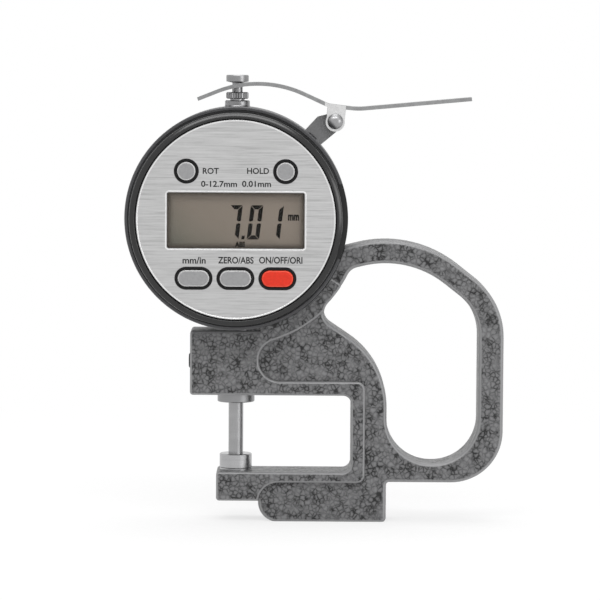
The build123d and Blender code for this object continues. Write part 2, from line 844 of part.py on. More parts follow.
def spindle_carriage():
    """Block clamped on the spindle, with an arm that slides on the guide rod."""
    bottom = carriage_mid_z - carriage_height / 2
    top = carriage_mid_z + carriage_height / 2
    block = box_outline(-carriage_side, carriage_side, bottom, top)
    body = dial_slab(block, carriage_front_y, carriage_back_y)
    arm = box_outline(-guide_offset - 2 * guide_radius, 0, bottom, top)
    body += dial_slab(arm, -2 * guide_radius, 2 * guide_radius)
    body -= upright_rod(spindle_radius + snug_gap, spindle_x, dial_z + bottom, dial_z + top)
    guide = guide_radius + running_gap
    return body - upright_rod(guide, spindle_x - guide_offset, dial_z + bottom, dial_z + top)


def measuring_scale():
    """Scale strip on the front of the carriage."""
    outline = Pos(0, carriage_mid_z) * Rectangle(scale_width, scale_length)
    return dial_slab(outline, scale_front_y, carriage_front_y)


def guide_rod():
    """Rod seated in the rim at both ends."""
    end = inner_radius - 0.5
    return upright_rod(guide_radius, spindle_x - guide_offset, dial_z - end, dial_z + end)


def return_spring():
    """Open coil of eight-sided wire between the carriage and the top bush."""
    bottom = dial_z + carriage_mid_z + carriage_height / 2 + wire_radius
    top = cap_seat_z - cap_shank_length - wire_radius
    height = top - bottom
    path = Helix(pitch=height / spring_turns, height=height, radius=spring_radius)
    start = Plane(origin=path @ 0, z_dir=path % 0)
    coil = sweep(start * RegularPolygon(wire_radius, 8), path=path, is_frenet=True)
    return Pos(spindle_x, 0, bottom) * coil


def battery():
    """Coin cell beside the spindle."""
    outline = Pos(battery_x, battery_z) * Circle(battery_radius)
    cell = dial_slab(outline, battery_front_y, battery_front_y + battery_thickness)
    return chamfer(cell.edges().group_by(Axis.Y)[0], 0.3)


def battery_holder():
    """Tray on the back cover that the cell slides into from the side."""
    left = battery_x - battery_radius - holder_wall - 0.5
    low = battery_z - battery_radius - holder_wall - 0.5
    high = battery_z + battery_radius + holder_wall + 0.5
    outline = box_outline(left, case_radius, low, high) & Circle(inner_radius - 0.4)
    front = battery_front_y - contact_leaf - holder_wall
    tray = dial_slab(outline, front, cover_inner_y)
    room = Pos(battery_x, battery_z) * Circle(battery_radius + 0.2)
    half = battery_radius + 0.2
    room += box_outline(battery_x, case_radius, battery_z - half, battery_z + half)
    room_back = battery_front_y + battery_thickness + contact_leaf
    return tray - dial_slab(room, battery_front_y - contact_leaf, room_back)


def battery_contacts():
    """Contact leaf in front of the cell and another behind it."""
    outline = Pos(battery_x - 2, battery_z) * Rectangle(12, 4)
    back = battery_front_y + battery_thickness
    front_leaf = dial_slab(outline, battery_front_y - contact_leaf, battery_front_y)
    return Compound([front_leaf.solid(), dial_slab(outline, back, back + contact_leaf).solid()])


def battery_cover():
    """Curved cover clipped into the rim, flush with it and closing the lip's groove."""
    low = battery_cover_low + 0.2
    high = battery_cover_high - 0.2
    seat_radius = case_radius - battery_cover_thickness + 0.05
    shell = dial_slab(sector(seat_radius, case_radius, low, high), seat_y, battery_cover_back_y - fit_gap)
    nose = sector(bezel_radius + fit_gap, case_radius, low, high)
    return shell + dial_slab(nose, case_front_y, seat_y)


def back_cover():
    """Plain back of the case with sunk screw seats."""
    body = turned_dial(
        (0, cover_inner_y),
        (inner_radius - fit_gap, cover_inner_y),
        (inner_radius - fit_gap, case_back_y),
        (cover_radius, case_back_y),
        (cover_radius, cover_back_y - cover_edge),
        (cover_radius - cover_edge, cover_back_y),
        (0, cover_back_y),
    )
    seat = cover_back_y - cover_screw_head - 0.1
    for angle in cover_screw_angles:
        place = Pos(*polar(cover_screw_circle, angle))
        body -= dial_slab(place * Circle(cover_screw_head_radius + fit_gap), seat, cover_back_y)
        body -= dial_slab(place * Circle(cover_screw_radius + fit_gap), cover_inner_y, seat)
    return body


def back_cover_screws():
    """Cross-headed screws of the back cover."""
    screws = []
    seat = cover_back_y - cover_screw_head - 0.1
    for angle in cover_screw_angles:
        place = Pos(*polar(cover_screw_circle, angle))
        screw = dial_slab(place * Circle(cover_screw_head_radius), seat, seat + cover_screw_head)
        screw += dial_slab(place * Circle(cover_screw_radius), 0, seat)
        cross = Rectangle(2.4, 0.5) + Rectangle(0.5, 2.4)
        screw -= dial_slab(place * cross, seat + cover_screw_head - 0.5, seat + cover_screw_head)
        screws.append(screw.solid())
    return Compound(screws)


def lever_outline():
    """Side of the bent strip, drawn in the front view."""
    bends = [crest_radius, valley_radius, heel_radius]
    route = FilletPolyline(lever_tip, lever_crest, lever_valley, lever_heel, lever_end, radius=bends)
    return trace(route, strip_thickness)


def lift_lever():
    """Bent strip with a fork round the knob's neck and an ear on each side at the pivot."""
    half = lever_width / 2
    body = slab(lever_outline(), -half, half)
    slot_left = lever_tip[0] - lever_width
    slot_right = spindle_x + fork_reach
    slot = Box(slot_right - slot_left, fork_slot, 3 * lever_width)
    body -= Pos((slot_left + slot_right) / 2, 0, lever_crest[1]) * slot
    ear = Pos(pivot_x, pivot_z - 0.15) * Circle(ear_radius)
    ear += make_face(
        Polyline(
            (pivot_x - ear_half_width, pivot_z - 0.5),
            (pivot_x - ear_half_width + 0.4, lever_valley[1] + 0.1),
            (pivot_x + ear_half_width + 0.5, lever_valley[1] - 0.55),
            (pivot_x + ear_half_width, pivot_z - 0.5),
            close=True,
        ).edges()
    )
    ear -= Pos(pivot_x, pivot_z) * Circle(pivot_radius + running_gap)
    for side in (-1, 1):
        near = side * (half - strip_thickness)
        body += slab(ear, min(near, side * half), max(near, side * half))
    return body


def lever_bracket():
    """Arm that carries the lever, with a curved foot let into the rim."""
    low = arm_angle - saddle_half_angle
    high = arm_angle + saddle_half_angle
    foot = sector(case_radius - saddle_thickness, case_radius, low, high)
    body = dial_slab(foot, -saddle_depth / 2, saddle_depth / 2)
    arm = Pos(arm_length - arm_width, 0) * Rectangle(2 * arm_width, arm_width)
    arm = Pos(spindle_x, dial_z) * Rot(0, 0, arm_angle) * arm
    boss = Pos(pivot_x, pivot_z) * Circle(ear_radius - 0.2)
    arm = make_hull(arm.edges() + boss.edges())
    arm -= Pos(spindle_x, dial_z) * Circle(case_radius - saddle_thickness / 2)
    body += slab(arm, -arm_thickness / 2, arm_thickness / 2)
    boss_half = lever_width / 2 - strip_thickness - fit_gap
    body += slab(boss, -boss_half, boss_half)
    body -= slab(Pos(pivot_x, pivot_z) * Circle(pivot_radius + snug_gap), -boss_half, boss_half)
    for side in (-1, 1):
        body -= radial_rod(bracket_screw_radius + fit_gap, case_radius - 2, case_radius + 1, arm_angle, side)
    return body


def bracket_screws():
    """Screws that hold the bracket's foot on the rim."""
    screws = []
    for side in (-1, 1):
        head_top = case_radius + screw_head_height
        head = radial_rod(bracket_screw_head_radius, case_radius, head_top, arm_angle, side)
        shank = radial_rod(bracket_screw_radius, inner_radius - 0.9, case_radius, arm_angle, side)
        screws.append((head + shank).solid())
    return Compound(screws)


def pivot_screw():
    """Domed screw through both ears and the arm."""
    front = -lever_width / 2 - fit_gap
    rim = 0.3
    crown = (pivot_x, front - pivot_head_height, pivot_z)
    shoulder = (pivot_x + pivot_head_radius, front - rim, pivot_z)
    middle = (pivot_x + 0.62 * pivot_head_radius, front - 0.82 * pivot_head_height, pivot_z)
    slope = ThreePointArc(crown, middle, shoulder)
    tail = lever_width / 2 + fit_gap + pivot_nut_height
    rest = Polyline(
        shoulder,
        (pivot_x + pivot_head_radius, front, pivot_z),
        (pivot_x + pivot_radius, front, pivot_z),
        (pivot_x + pivot_radius, tail, pivot_z),
        (pivot_x, tail, pivot_z),
        crown,
    )
    profile = make_face(slope.edges() + rest.edges())
    return revolve(profile, Axis((pivot_x, 0, pivot_z), (0, 1, 0)))


def pivot_nut():
    """Hexagon nut at the back of the pivot."""
    outline = RegularPolygon(pivot_nut_width / 2, 6, major_radius=False) - Circle(pivot_radius + snug_gap)
    seat = lever_width / 2 + fit_gap
    return slab(Pos(pivot_x, pivot_z) * outline, seat, seat + pivot_nut_height)


sub_parts = {
    "frame": frame_casting(),
    "anvil": anvil(),
    "stem_bush": stem_bush(),
    "stem_clamp_screw": stem_clamp_screw(),
    "stem": stem(),
    "spindle": spindle(),
    "contact_point": contact_point(),
    "top_bush": top_bush(),
    "knurled_nut": knurled_nut(),
    "lift_knob": lift_knob(),
    "rear_housing": rear_housing(),
    "front_housing": front_housing(),
    "face_plate": face_plate(),
    "display_window": display_window(),
    "lcd_glass": lcd_glass(),
    "contact_strips": contact_strips(),
    "key_switches": key_switches(),
    "main_board": main_board(),
    "board_screws": board_screws(),
    "sensor_board": sensor_board(),
    "board_spacers": board_spacers(),
    "spindle_carriage": spindle_carriage(),
    "measuring_scale": measuring_scale(),
    "guide_rod": guide_rod(),
    "return_spring": return_spring(),
    "battery": battery(),
    "battery_holder": battery_holder(),
    "battery_contacts": battery_contacts(),
    "battery_cover": battery_cover(),
    "back_cover": back_cover(),
    "back_cover_screws": back_cover_screws(),
    "lift_lever": lift_lever(),
    "lever_bracket": lever_bracket(),
    "bracket_screws": bracket_screws(),
    "pivot_screw": pivot_screw(),
    "pivot_nut": pivot_nut(),
}
for name, place in round_keys.items():
    sub_parts[name] = round_key(place)
for name, place in oval_keys.items():
    sub_parts[name] = oval_key(place)

os.makedirs("parts", exist_ok=True)
for name, shape in sub_parts.items():
    export_step(shape, f"parts/{name}.step")
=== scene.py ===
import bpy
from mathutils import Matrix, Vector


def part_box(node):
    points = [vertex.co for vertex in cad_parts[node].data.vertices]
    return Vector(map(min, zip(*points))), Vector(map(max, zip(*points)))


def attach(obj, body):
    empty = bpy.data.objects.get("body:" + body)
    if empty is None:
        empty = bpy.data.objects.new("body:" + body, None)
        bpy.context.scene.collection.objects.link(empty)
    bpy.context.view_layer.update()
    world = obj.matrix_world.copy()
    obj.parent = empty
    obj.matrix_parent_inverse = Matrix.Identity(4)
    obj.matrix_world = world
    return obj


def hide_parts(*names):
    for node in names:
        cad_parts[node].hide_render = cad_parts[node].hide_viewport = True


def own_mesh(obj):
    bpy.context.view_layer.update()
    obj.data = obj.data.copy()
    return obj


bl_info = {
    "name": "Thickness gauge looks",
    "version": (1, 0, 0),
    "blender": (4, 5, 0),
    "location": "3D view > Sidebar > Gauge",
    "description": "Finishes, legends, display, stage and camera for the digital thickness gauge",
    "category": "Object",
}

from math import atan, cos, pi, radians, sin, tan

import bmesh
import bpy
from bpy.props import FloatProperty, FloatVectorProperty, PointerProperty
from mathutils import Matrix, Vector

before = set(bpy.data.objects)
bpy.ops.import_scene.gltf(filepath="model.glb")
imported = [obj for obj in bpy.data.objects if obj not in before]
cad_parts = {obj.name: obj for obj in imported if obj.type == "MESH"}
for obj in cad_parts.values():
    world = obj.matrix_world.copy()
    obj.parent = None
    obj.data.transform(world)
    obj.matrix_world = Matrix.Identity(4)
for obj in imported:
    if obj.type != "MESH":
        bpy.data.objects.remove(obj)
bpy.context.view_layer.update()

MM = 0.001


def node_middle(name):
    """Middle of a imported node's box, in metres."""
    low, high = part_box(name)
    return (low + high) / 2


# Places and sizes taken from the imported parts
dial = node_middle("face_plate")
pivot = node_middle("pivot_screw")
plate_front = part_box("face_plate")[0].y
glass_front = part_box("lcd_glass")[0].y
window_middle = node_middle("display_window")
window_low, window_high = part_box("display_window")

# Sizes in millimetres
window_margin = 1.0
opening_width = (window_high.x - window_low.x) / MM - 2 * window_margin
opening_height = (window_high.z - window_low.z) / MM - 2 * window_margin
ear_reach = 2.75
ink_lift = 0.02


# Shader building


def hex_colour(code):
    """Linear colour from an sRGB hex value."""
    channels = [int(code[start : start + 2], 16) / 255 for start in (0, 2, 4)]
    linear = [c / 12.92 if c <= 0.04045 else ((c + 0.055) / 1.055) ** 2.4 for c in channels]
    return (*linear, 1.0)


def opaque(colour):
    """A setting's colour with full alpha."""
    return (*colour[:3], 1.0)


def shade(colour, factor):
    """The same colour, darker or lighter by a factor."""
    return (*[min(1.0, factor * c) for c in colour[:3]], 1.0)


def add_node(tree, kind, inputs=None, stops=None, **settings):
    """Add a shader node with its settings, colour stops, values and links."""
    made = tree.nodes.new(kind)
    for name, value in settings.items():
        setattr(made, name, value)
    if stops:
        while len(made.color_ramp.elements) < len(stops):
            made.color_ramp.elements.new(0.5)
        for element, (position, colour) in zip(made.color_ramp.elements, stops):
            element.position = position
            element.color = colour
    for name, value in (inputs or {}).items():
        socket = made.inputs[name]
        if isinstance(value, bpy.types.NodeSocket):
            tree.links.new(value, socket)
        else:
            socket.default_value = value
    return made


def new_finish(name, **sockets):
    """Start a material and set plain values on its shader."""
    material = bpy.data.materials.new(name)
    material.use_nodes = True
    shader = material.node_tree.nodes["Principled BSDF"]
    for socket, value in sockets.items():
        shader.inputs[socket.replace("_", " ")].default_value = value
    return material, material.node_tree, shader


def object_place(tree):
    """Place of a point on its own piece, in metres."""
    return add_node(tree, "ShaderNodeTexCoord").outputs["Object"]


def noise(tree, size, detail, output="Fac", **values):
    """Noise with lumps of a size in millimetres."""
    values |= {"Vector": object_place(tree), "Scale": 1 / (size * MM), "Detail": detail}
    return add_node(tree, "ShaderNodeTexNoise", values).outputs[output]


def drawn_out_noise(tree, sizes, detail, roughness):
    """Noise with lumps that differ in size along the three axes, in millimetres."""
    scale = [1 / (size * MM) for size in sizes]
    stretch = add_node(tree, "ShaderNodeMapping", {"Vector": object_place(tree), "Scale": scale})
    values = {"Vector": stretch.outputs[0], "Scale": 1.0, "Detail": detail, "Roughness": roughness}
    return add_node(tree, "ShaderNodeTexNoise", values).outputs["Fac"]


def ramp(tree, value, *stops):
    """Colour that follows a value from stop to stop."""
    return add_node(tree, "ShaderNodeValToRGB", {"Fac": value}, stops).outputs["Color"]


def calculate(tree, operation, *values):
    """One step of arithmetic on links and numbers."""
    return add_node(tree, "ShaderNodeMath", dict(enumerate(values)), operation=operation).outputs[0]


def rescale(tree, value, target, source=(0.0, 1.0), **settings):
    """Value taken from the source range to the target range, and held at its ends."""
    ends = dict(zip(("From Min", "From Max", "To Min", "To Max"), (*source, *target)))
    return add_node(tree, "ShaderNodeMapRange", {"Value": value, **ends}, **settings).outputs["Result"]


def mix_colours(tree, share, first, second):
    """First colour at a share of nothing, second colour at a share of one."""
    mix = add_node(tree, "ShaderNodeMix", {0: share, 6: first, 7: second}, data_type="RGBA")
    return mix.outputs[2]


def forward_turn(tree):
    """One on faces that look to the front or back, nothing on faces that look sideways or up."""
    geometry = add_node(tree, "ShaderNodeNewGeometry")
    normal = add_node(tree, "ShaderNodeSeparateXYZ", {"Vector": geometry.outputs["Normal"]})
    return calculate(tree, "ABSOLUTE", normal.outputs["Y"])


def background_rays(tree):
    """One for what the camera sees, straight, in a reflection or through glass."""
    ray = add_node(tree, "ShaderNodeLightPath")
    mirrored = calculate(
        tree, "MAXIMUM", ray.outputs["Is Glossy Ray"], ray.outputs["Is Transmission Ray"]
    )
    return calculate(tree, "MAXIMUM", ray.outputs["Is Camera Ray"], mirrored)


def feed(tree, shader, colour, gloss, height, strength, depth):
    """Link colour and roughness, and a bump from a height, with its depth in millimetres."""
    relief = add_node(
        tree, "ShaderNodeBump", {"Height": height, "Strength": strength, "Distance": depth * MM}
    )
    tree.links.new(colour, shader.inputs["Base Color"])
    tree.links.new(gloss, shader.inputs["Roughness"])
    tree.links.new(relief.outputs["Normal"], shader.inputs["Normal"])


# Finishes


def hammertone_enamel(look):
    """Grey hammertone enamel, sprayed: the thinner draws it into round pale blobs with dark veins
    between them; over sharp edges it runs thin and smooth, and is painted lighter there as a painted
    highlight of the edges catching the light."""
    material, tree, shader = new_finish(
        "hammertone_enamel", Metallic=0.2, Coat_Weight=0.15, Coat_Roughness=0.3
    )
    size = look.cell_size
    bend = 0.9 * size * MM
    drift = noise(tree, size / 0.8, 3.0, "Color")
    shifted = add_node(
        tree, "ShaderNodeVectorMath", {0: drift, 1: (0.5, 0.5, 0.5)}, operation="SUBTRACT"
    )
    bent = add_node(
        tree,
        "ShaderNodeVectorMath",
        {0: shifted.outputs[0], 1: (bend, bend, bend), 2: object_place(tree)},
        operation="MULTIPLY_ADD",
    )
    cells = add_node(
        tree,
        "ShaderNodeTexVoronoi",
        {"Vector": bent.outputs[0], "Scale": 1 / (size * MM)},
        feature="DISTANCE_TO_EDGE",
    )
    patches = noise(tree, 2.2 * size, 3.0, Roughness=0.6)
    height = calculate(tree, "MULTIPLY_ADD", patches, 0.8, cells.outputs["Distance"])
    vein, blob = opaque(look.vein_colour), opaque(look.enamel_colour)
    between = tuple(0.4 * dark + 0.6 * pale for dark, pale in zip(vein, blob))
    tone = ramp(tree, height, (0.34, vein), (0.46, between), (0.57, blob), (0.9, shade(blob, 1.5)))
    black, white = (0, 0, 0, 1), (1, 1, 1, 1)
    # Painted highlight: the fillets take a smooth, lighter edge tone in place of the blob pattern, as if they
    # caught the light
    edge = ramp(tree, forward_turn(tree), (0.05, black), (0.2, white), (0.9, white), (0.985, black))
    colour = mix_colours(tree, edge, tone, opaque(look.edge_highlight_colour))
    feed(tree, shader, colour, rescale(tree, height, (0.55, 0.4)), height, 0.35, 0.2)
    return material


def moulded_black(name, colour, dull, waviness, shine):
    """Black ABS: soft gloss with a faint waviness in its reflections."""
    material, tree, shader = new_finish(name, IOR=1.54, Specular_IOR_Level=shine)
    waves = noise(tree, 2.5, 3.0)
    tone = ramp(tree, waves, (0.3, shade(colour, 0.95)), (0.7, shade(colour, 1.15)))
    gloss = rescale(tree, waves, (dull * 0.8, dull * 1.25))
    feed(tree, shader, tone, gloss, waves, waviness, 0.1)
    return material


def brushed_aluminium(look):
    """Anodised aluminium sheet, brushed from side to side: fine level streaks, light and dark."""
    material, tree, shader = new_finish("brushed_aluminium", Metallic=1.0)
    streak = 14.0
    streaks = drawn_out_noise(tree, (streak, streak, look.brush_pitch), 5.0, 0.75)
    light = opaque(look.plate_colour)
    tone = ramp(tree, streaks, (0.3, shade(light, 0.62)), (0.5, shade(light, 0.86)), (0.72, light))
    feed(tree, shader, tone, rescale(tree, streaks, (0.3, 0.5)), streaks, 0.2, 0.02)
    return material


def worked_steel(name, code, dull, line_pitch, along, strength=0.1):
    """Machined steel: fine tool or grinding lines square to the given axis, with faint stains."""
    material, tree, shader = new_finish(name, Metallic=1.0)
    line_length = 25.0
    sizes = [line_pitch if axis == along else line_length for axis in "xyz"]
    lines = drawn_out_noise(tree, sizes, 3.0, 0.6)
    stained = calculate(tree, "MULTIPLY", lines, noise(tree, 4.0, 3.0))
    light = hex_colour(code)
    tone = ramp(tree, stained, (0.1, shade(light, 0.86)), (0.4, light))
    gloss = rescale(tree, stained, (dull * 0.8, dull * 1.25))
    feed(tree, shader, tone, gloss, lines, strength, 0.02)
    return material


def rolled_strip():
    """Rolled spring steel strip: dull along the strip, and brighter and smoother on the faces of the two
    ears that look to the front or back."""
    material, tree, shader = new_finish("rolled_strip_steel", Metallic=1.0)
    grain = noise(tree, 1.5, 2.0)
    parts = add_node(tree, "ShaderNodeSeparateXYZ", {"Vector": object_place(tree)})
    away = calculate(tree, "ABSOLUTE", calculate(tree, "ADD", parts.outputs["X"], -pivot.x))
    ear = rescale(tree, away, (1.0, 0.0), (ear_reach * MM, (ear_reach + 0.15) * MM))
    # Faces of the ears that look to the front or back take the bright tone and lower roughness
    ear_face_share = calculate(tree, "MULTIPLY", ear, forward_turn(tree))
    dull = ramp(tree, grain, (0.3, hex_colour("8a8a8b")), (0.7, hex_colour("999a9a")))
    bright = ramp(tree, grain, (0.3, hex_colour("cdcdcd")), (0.7, hex_colour("d9d9d9")))
    colour = mix_colours(tree, ear_face_share, dull, bright)
    feed(tree, shader, colour, rescale(tree, ear_face_share, (0.5, 0.4)), grain, 0.1, 0.02)
    return material


def moulded_matt(name, colour, dull, grain, shine=0.5):
    """Moulded plastic, rubber, ink or enamel with a fine grain that softens its shine."""
    material, tree, shader = new_finish(name, IOR=1.5, Specular_IOR_Level=shine)
    specks = noise(tree, grain, 3.0)
    tone = ramp(tree, specks, (0.3, shade(colour, 0.86)), (0.7, shade(colour, 1.0)))
    gloss = rescale(tree, specks, (dull * 0.85, dull * 1.15))
    feed(tree, shader, tone, gloss, specks, 0.12, 0.03)
    return material


def key_silicone(name, colour, rim_highlight_colour):
    """Moulded silicone key, dull on its flat top, with a painted highlight in a paler colour round its
    rounded rim.
    """
    material = moulded_matt(name, colour, dull=0.45, grain=0.5, shine=0.35)
    tree = material.node_tree
    colour_socket = tree.nodes["Principled BSDF"].inputs["Base Color"]
    flat_tone = colour_socket.links[0].from_socket
    # Painted highlight: faces that turn away from the front, on the key's rounded rim, take the paler rim
    # colour
    rim = rescale(tree, forward_turn(tree), (1.0, 0.0), (0.8, 0.995))
    tree.links.new(mix_colours(tree, rim, flat_tone, rim_highlight_colour), colour_socket)
    return material


def window_acrylic():
    """Clear acrylic sheet, cast: nearly nothing but its reflections and a few faint wipe marks."""
    material, tree, shader = new_finish("window_acrylic", IOR=1.49, Alpha=0.07)
    wipes = noise(tree, 9.0, 4.0)
    tone = ramp(tree, wipes, (0.3, hex_colour("3c3c3a")), (0.7, hex_colour("4c4c4a")))
    feed(tree, shader, tone, rescale(tree, wipes, (0.03, 0.09)), wipes, 0.03, 0.05)
    material.surface_render_method = "BLENDED"
    return material


def display_film(look):
    """Reflective liquid crystal film: warm grey, greener at the lower left where the polariser turns,
    and darker towards the window's edges, where the plate shades it."""
    material, tree, shader = new_finish("display_film", IOR=1.5)
    half_width, half_height = opening_width * MM / 2, opening_height * MM / 2
    shift = add_node(
        tree,
        "ShaderNodeMapping",
        {
            "Vector": object_place(tree),
            "Location": (-window_middle.x / half_width, 0, -window_middle.z / half_height),
            "Scale": (1 / half_width, 1, 1 / half_height),
        },
    )
    parts = add_node(tree, "ShaderNodeSeparateXYZ", {"Vector": shift.outputs[0]})
    across, upward = parts.outputs["X"], parts.outputs["Z"]
    clouds = noise(tree, 12.0, 1.0)
    slope = calculate(tree, "MULTIPLY_ADD", upward, 0.45, across)
    cloudy = calculate(tree, "MULTIPLY_ADD", clouds, 0.5, slope)
    tone = ramp(
        tree,
        rescale(tree, cloudy, (0.0, 1.0), (-1.2, 1.2)),
        (0.05, hex_colour("65665a")),
        (0.4, hex_colour("857b6f")),
        (0.75, opaque(look.film_colour)),
    )
    soft = {"interpolation_type": "SMOOTHSTEP"}
    near_side = rescale(tree, calculate(tree, "ABSOLUTE", across), (0.0, 1.0), (0.9, 1.0), **soft)
    near_end = rescale(tree, calculate(tree, "ABSOLUTE", upward), (0.0, 1.0), (0.78, 1.0), **soft)
    rim = calculate(tree, "MAXIMUM", near_side, near_end)
    colour = mix_colours(tree, rim, tone, hex_colour("5a5148"))
    feed(tree, shader, colour, rescale(tree, clouds, (0.35, 0.45)), clouds, 0.02, 0.05)
    return material


def circuit_lacquer():
    """Green solder mask over copper tracks: lighter level and upright lines under gloss."""
    material, tree, shader = new_finish("circuit_lacquer", IOR=1.5)
    turned = add_node(
        tree, "ShaderNodeMapping", {"Vector": object_place(tree), "Rotation": (pi / 2, 0, 0)}
    )
    tracks = add_node(
        tree,
        "ShaderNodeTexBrick",
        {
            "Vector": turned.outputs[0],
            "Color1": hex_colour("1d5a32"),
            "Color2": hex_colour("17492a"),
            "Mortar": hex_colour("3c7d4c"),
            "Scale": 1 / (6 * MM),
            "Mortar Size": 0.03,
        },
    )
    gloss = rescale(tree, tracks.outputs["Fac"], (0.3, 0.22))
    feed(tree, shader, tracks.outputs["Color"], gloss, tracks.outputs["Fac"], 0.2, 0.05)
    return material


# Pieces


def dress(material, *names):
    """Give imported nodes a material."""
    for name in names:
        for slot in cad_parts[name].material_slots:
            slot.material = material


def place_object(name, mesh, material):
    """Make an object from a mesh, with one material."""
    mesh.name = name
    mesh.materials.clear()
    mesh.materials.append(material)
    piece = bpy.data.objects.new(name, mesh)
    bpy.context.scene.collection.objects.link(piece)
    return piece


def place_mesh(name, vertices, faces, material, body):
    """Make a piece from points in metres and let it ride on a body."""
    mesh = bpy.data.meshes.new(name)
    mesh.from_pydata(vertices, [], faces)
    piece = place_object(name, mesh, material)
    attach(piece, body)
    return piece


def join_rings(rings, count):
    """Faces between closed rings of points that follow each other."""
    faces = []
    for ring in range(rings - 1):
        near, far = ring * count, (ring + 1) * count
        for step in range(count):
            after = (step + 1) % count
            faces.append([near + step, near + after, far + after, far + step])
    return faces


def flat_words(name, words, middle, size, front, material, weight=0.0):
    """Words as a thin mesh on a face towards the viewer, with places and sizes in millimetres from
    the dial's centre."""
    curve = bpy.data.curves.new(name, "FONT")
    curve.body = words
    curve.extrude = 0.01
    curve.offset = weight
    curve.resolution_u = 4
    source = bpy.data.objects.new(name + "_source", curve)
    bpy.context.scene.collection.objects.link(source)
    bpy.context.view_layer.update()
    shaped = source.evaluated_get(bpy.context.evaluated_depsgraph_get())
    mesh = bpy.data.meshes.new_from_object(shaped)
    bpy.data.objects.remove(source)
    bpy.data.curves.remove(curve)
    across = [v.co.x for v in mesh.vertices]
    upward = [v.co.y for v in mesh.vertices]
    left, right, low, high = min(across), max(across), min(upward), max(upward)
    for v in mesh.vertices:
        x = ((v.co.x - left) / (right - left) - 0.5) * size[0] + middle[0]
        z = ((v.co.y - low) / (high - low) - 0.5) * size[1] + middle[1]
        lift = ink_lift if v.co.z > 0 else -ink_lift
        v.co = (dial.x + x * MM, front - lift * MM, dial.z + z * MM)
    piece = place_object(name, mesh, material)
    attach(piece, "gauge")
    return piece


def figure_bars(width, height, bar):
    """Outlines of a figure's bars, before they lean."""
    gap = 0.1
    outer_notch, middle_notch, inner_notch = 0.35, 0.22, 0.5
    half = height / 2
    inner = width - bar
    return {
        "top": [(gap, height), (width - gap, height), (inner - gap, height - bar), (bar + gap, height - bar)],
        "bottom": [(bar + gap, bar), (inner - gap, bar), (width - gap, 0), (gap, 0)],
        "upper_left": [
            (0, height - gap),
            (bar, height - bar - gap),
            (bar, half + inner_notch),
            (0.5 * bar, half + middle_notch),
            (0, half + outer_notch),
        ],
        "upper_right": [
            (inner, height - bar - gap),
            (width, height - gap),
            (width, half + outer_notch),
            (width - 0.5 * bar, half + middle_notch),
            (inner, half + inner_notch),
        ],
        "lower_left": [
            (0, half - outer_notch),
            (0.5 * bar, half - middle_notch),
            (bar, half - inner_notch),
            (bar, bar + gap),
            (0, gap),
        ],
        "lower_right": [
            (inner, half - inner_notch),
            (width - 0.5 * bar, half - middle_notch),
            (width, half - outer_notch),
            (width, gap),
            (inner, bar + gap),
        ],
    }


def display_figures(look, ink):
    """The reading on the display: leaning bars and the point, as one thin mesh. Places are in
    millimetres from the dial's centre."""
    lean = tan(radians(look.figure_lean))
    bars = figure_bars(look.figure_width, look.figure_height, look.figure_bar)
    base = -5.32
    pitch = 5.5
    zero_left = 2.88
    point_left, point_right, point_low, point_high = 1.45, 2.3, 0.05, 1.0
    figures = [
        (zero_left - pitch, ("top", "upper_right", "lower_right")),
        (zero_left, ("top", "bottom", "upper_left", "upper_right", "lower_left", "lower_right")),
        (zero_left + pitch, ("upper_right", "lower_right")),
    ]
    outlines = []
    for left, names in figures:
        outlines += [[(left + x, z) for x, z in bars[name]] for name in names]
    outlines.append(
        [
            (point_left, point_high),
            (point_right, point_high),
            (point_right, point_low),
            (point_left, point_low),
        ]
    )
    vertices, faces = [], []
    for outline in outlines:
        start = len(vertices)
        for lift in (ink_lift, -ink_lift):
            for x, z in outline:
                vertices.append(
                    (dial.x + (x + z * lean) * MM, glass_front - lift * MM, dial.z + (base + z) * MM)
                )
        count = len(outline)
        faces.append(list(range(start, start + count)))
        faces += [[start + corner for corner in face] for face in join_rings(2, count)]
    return place_mesh("display_figures", vertices, faces, ink, "gauge")


def rounded_corners(width, height, radius, steps=6):
    """Points round a rectangle with round corners, centred."""
    points = []
    for quarter, (side, end) in enumerate(((1, 1), (-1, 1), (-1, -1), (1, -1))):
        centre = Vector((side * (width / 2 - radius), end * (height / 2 - radius)))
        for step in range(steps + 1):
            angle = (quarter + step / steps) * pi / 2
            points.append(centre + radius * Vector((cos(angle), sin(angle))))
    return points


def window_edge(material):
    """Bright cut edge of the plate round the window, sloping in to the opening. Each ring has its
    size past the opening, its corner radius and its depth behind the plate's front."""
    rings = ((-0.02, 0.5, 0.55), (0.02, 0.5, 0.12), (0.55, 0.7, -0.07), (0.95, 0.9, -0.02))
    vertices = []
    for grown, radius, depth in rings:
        corners = rounded_corners(opening_width + grown, opening_height + grown, radius)
        for point in corners:
            x, z = window_middle.x + point.x * MM, window_middle.z + point.y * MM
            vertices.append((x, plate_front + depth * MM, z))
    faces = join_rings(len(rings), len(corners))
    return place_mesh("window_edge", vertices, faces, material, "gauge")


def turned_ring(name, reach, front, section, material, steps=180):
    """Ring round the dial's axis. Its section gives distances out from a reach and back from a
    front, in millimetres."""
    vertices = []
    for out, back in section:
        for step in range(steps):
            angle = 2 * pi * step / steps
            across, upward = (reach + out) * cos(angle), (reach + out) * sin(angle)
            vertices.append((dial.x + across * MM, (front + back) * MM, dial.z + upward * MM))
    piece = place_mesh(name, vertices, join_rings(len(section), steps), material, "gauge")
    piece.data.shade_smooth()
    return piece


def reach_and_front(name):
    """Radius and front of a packed round part, in millimetres."""
    low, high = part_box(name)
    return (high.x - low.x) / 2 / MM, low.y / MM


def closing_spring(material):
    """The return spring, which on the real gauge shortens as the spindle rises; here it is a fixed copy of
    the imported spring that rides on the gauge.
    """
    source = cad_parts["return_spring"]
    mesh = source.data.copy()
    mesh.transform(source.matrix_world)
    piece = place_object("closing_spring", mesh, material)
    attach(piece, "gauge")
    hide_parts("return_spring")
    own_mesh(piece)
    return piece


# User settings


